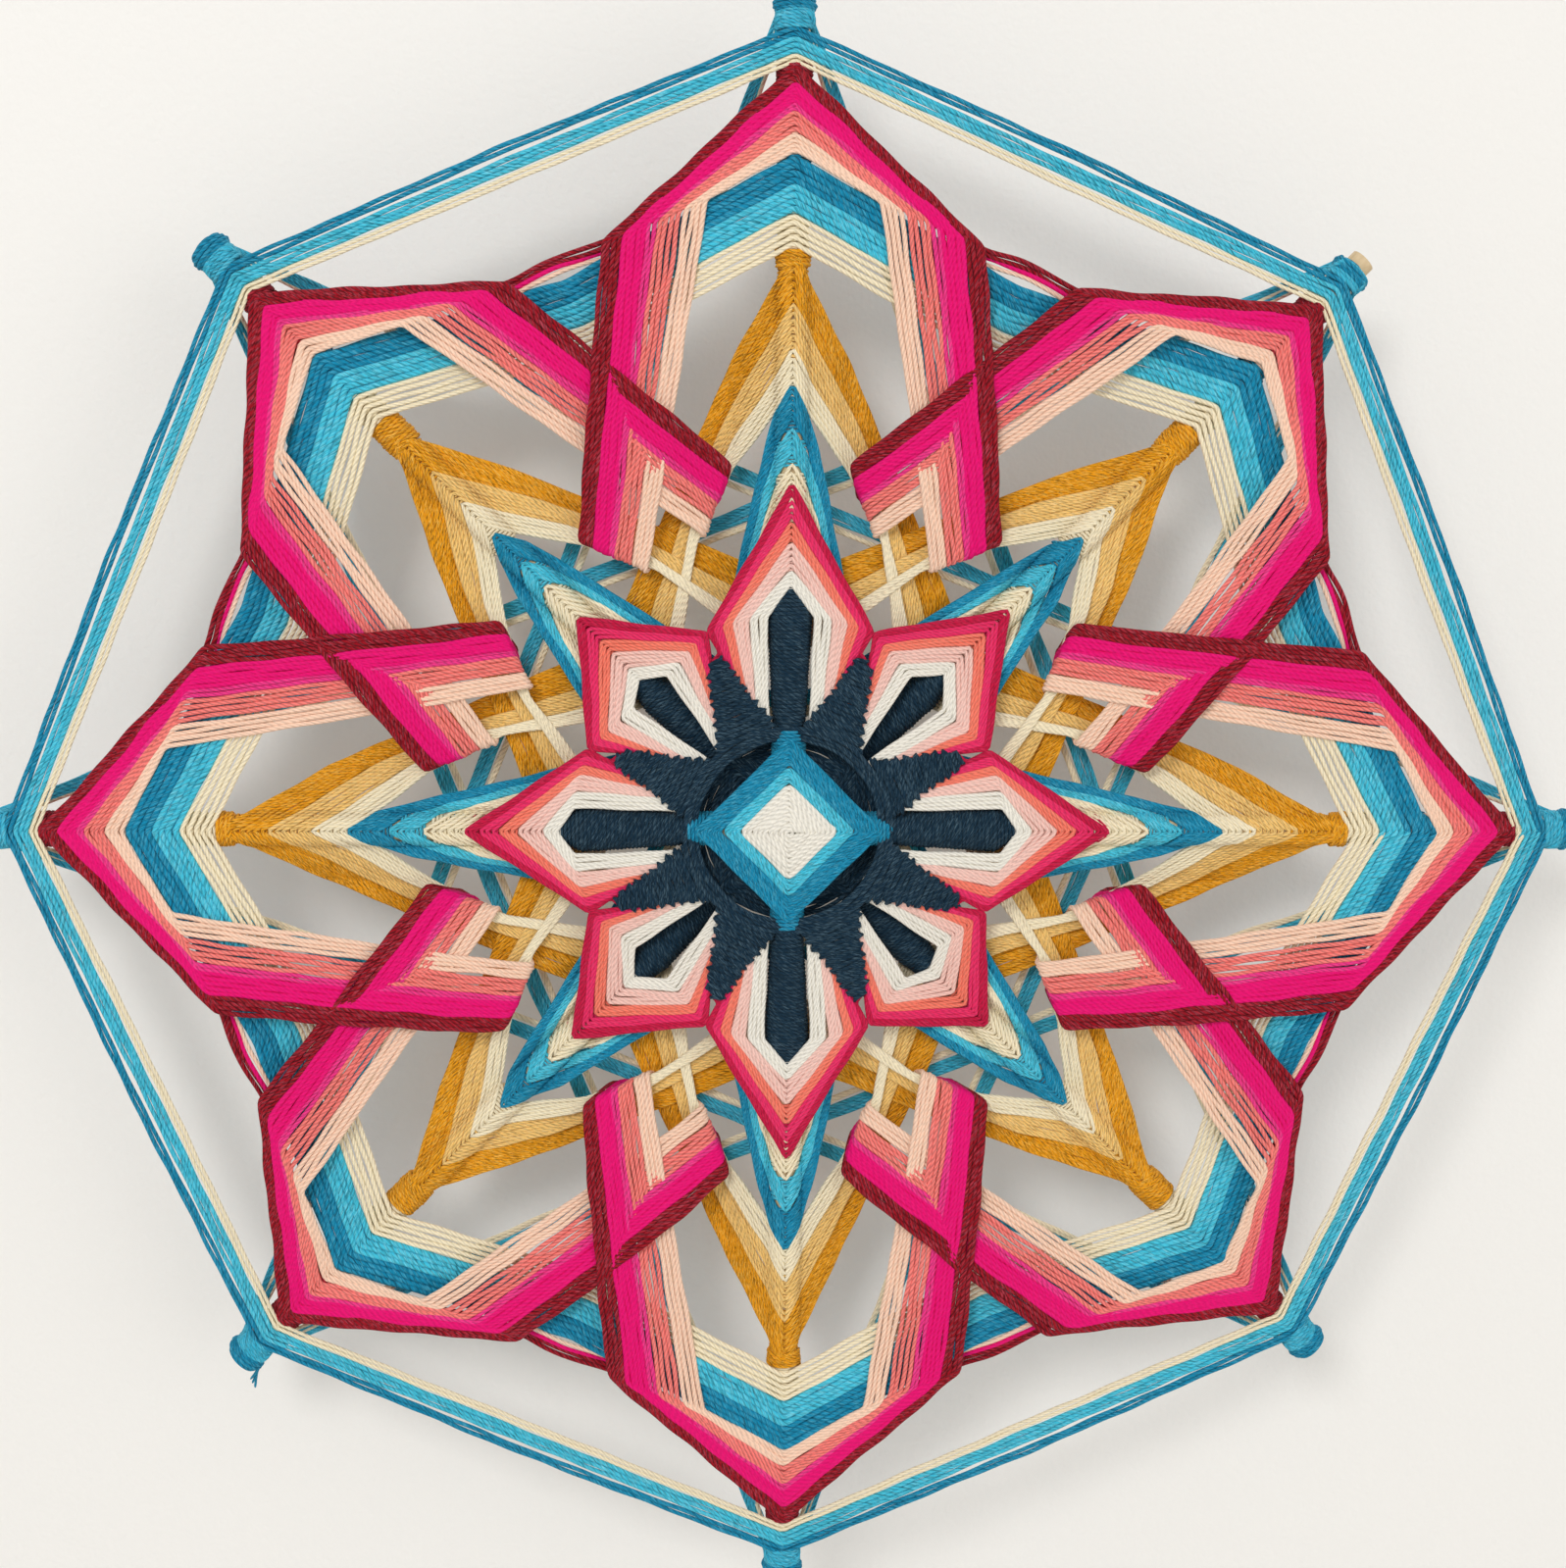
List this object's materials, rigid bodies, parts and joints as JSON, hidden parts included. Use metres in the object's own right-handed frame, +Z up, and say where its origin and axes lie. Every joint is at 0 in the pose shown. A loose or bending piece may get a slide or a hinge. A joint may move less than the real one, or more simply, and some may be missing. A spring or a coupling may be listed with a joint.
{
  "type": "wound yarn mandala",
  "caption": "Wall mandala of coloured yarn wound on a star of crossed wooden dowels, with a layered flower, star, octagon, petals and outer ring.",
  "frame": {"origin": "on the axis of the mandala, midway between the upright cross and the diagonal cross of dowels", "axes": "+Z up along the vertical dowel, +X along the horizontal dowel, +Y into the wall; front faces -Y"},
  "size_m": [0.5, 0.0255, 0.5],
  "materials": {
    "yarn_navy": "spun yarn",
    "yarn_dark_blue": "spun yarn",
    "wood": "plain sawn wood",
    "yarn_light_blue": "spun yarn",
    "yarn_white": "spun yarn",
    "yarn_coral": "spun yarn",
    "yarn_flower_crimson": "spun yarn",
    "yarn_pale_pink": "spun yarn",
    "yarn_rose": "spun yarn",
    "yarn_cream": "spun yarn",
    "yarn_gold": "spun yarn",
    "yarn_light_gold": "spun yarn",
    "yarn_crimson": "spun yarn",
    "yarn_magenta": "spun yarn",
    "yarn_peach": "spun yarn",
    "yarn_pink": "spun yarn",
    "yarn_blue": "spun yarn"
  },
  "bodies": {
    "root": {"bar_navy_1": "yarn_navy", "bar_navy_2": "yarn_navy", "bar_navy_3": "yarn_navy", "bar_navy_4": "yarn_navy", "bar_navy_5": "yarn_navy", "bar_navy_6": "yarn_navy", "bar_navy_7": "yarn_navy", "bar_navy_8": "yarn_navy", "cap_blue_1": "yarn_dark_blue", "cap_blue_2": "yarn_dark_blue", "cap_blue_3": "yarn_dark_blue", "cap_blue_4": "yarn_dark_blue", "cap_blue_5": "yarn_dark_blue", "cap_blue_6": "yarn_dark_blue", "cap_blue_7": "yarn_dark_blue", "cap_blue_8": "yarn_dark_blue", "dowel_falling": "wood", "dowel_horizontal": "wood", "dowel_rising": "wood", "dowel_vertical": "wood", "eye_dark_blue": "yarn_dark_blue", "eye_light_blue": "yarn_light_blue", "eye_rear_navy": "yarn_navy", "eye_white": "yarn_white", "flower_coral": "yarn_coral", "flower_crimson": "yarn_flower_crimson", "flower_pale_pink": "yarn_pale_pink", "flower_rose": "yarn_rose", "flower_white": "yarn_white", "gold_diagonal_cream": "yarn_cream", "gold_diagonal_gold": "yarn_gold", "gold_diagonal_light_gold": "yarn_light_gold", "gold_upright_cream": "yarn_cream", "gold_upright_gold": "yarn_gold", "gold_upright_light_gold": "yarn_light_gold", "octagon_cream": "yarn_cream", "octagon_dark_blue": "yarn_dark_blue", "octagon_light_blue": "yarn_light_blue", "petal_coral": "yarn_coral", "petal_crimson": "yarn_crimson", "petal_magenta": "yarn_magenta", "petal_peach": "yarn_peach", "petal_pink": "yarn_pink", "rear_star_blue": "yarn_blue", "rear_star_cream": "yarn_cream", "ring_cream": "yarn_cream", "ring_dark_blue": "yarn_dark_blue", "ring_light_blue": "yarn_light_blue", "spear_diagonal_cream": "yarn_cream", "spear_diagonal_dark_blue": "yarn_dark_blue", "spear_diagonal_light_blue": "yarn_light_blue", "spear_upright_cream": "yarn_cream", "spear_upright_dark_blue": "yarn_dark_blue", "spear_upright_light_blue": "yarn_light_blue", "tie_crimson": "yarn_crimson", "web_navy": "yarn_navy"}
  },
  "joints": []
}
